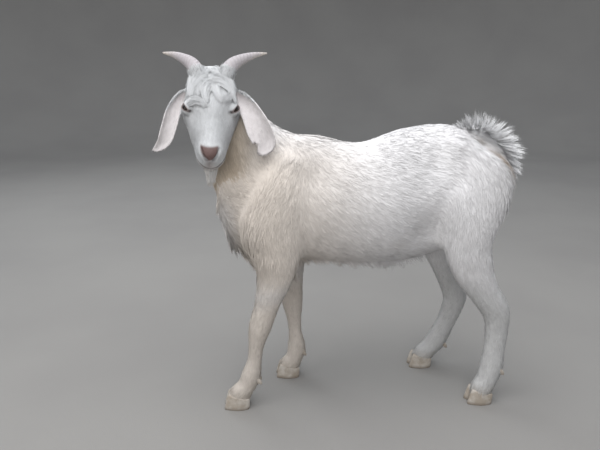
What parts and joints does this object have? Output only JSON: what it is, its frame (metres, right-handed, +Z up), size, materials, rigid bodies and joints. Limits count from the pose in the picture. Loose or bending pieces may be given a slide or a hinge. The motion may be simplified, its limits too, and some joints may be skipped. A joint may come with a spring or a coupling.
{
  "type": "saanen goat",
  "caption": "Young white dairy goat, life size, standing with its head turned to its left: lop ears, short outswept horns, small beard and raised fan of a tail.",
  "frame": {"origin": "on the floor, under the middle of the bounding box", "axes": "+Z up, -X the way the body faces, -Y the goat's left side and the way the turned head looks"},
  "size_m": [0.8484, 0.2688, 0.8236],
  "materials": {
    "coat": "white goat hair lying flat, cream on the neck and shoulder, matt with a faint sheen",
    "horn": "grey-white horn with shallow growth rings, dull",
    "hoof": "greyish tan hoof horn, dusty",
    "eye": "wet dark eye"
  },
  "bodies": {
    "root": {"head": "coat", "neck": "coat", "torso": "coat", "tail": "coat", "leg_front_left": "coat", "shank_front_left": "coat", "leg_front_right": "coat", "shank_front_right": "coat", "leg_hind_left": "coat", "shank_hind_left": "coat", "leg_hind_right": "coat", "shank_hind_right": "coat", "ear_left": "coat", "ear_right": "coat", "horn_left": "horn", "horn_right": "horn", "eye_left": "eye", "eye_right": "eye", "claw_front_left_outer": "hoof", "claw_front_left_inner": "hoof", "claw_front_right_outer": "hoof", "claw_front_right_inner": "hoof", "claw_hind_left_outer": "hoof", "claw_hind_left_inner": "hoof", "claw_hind_right_outer": "hoof", "claw_hind_right_inner": "hoof"}
  },
  "joints": []
}
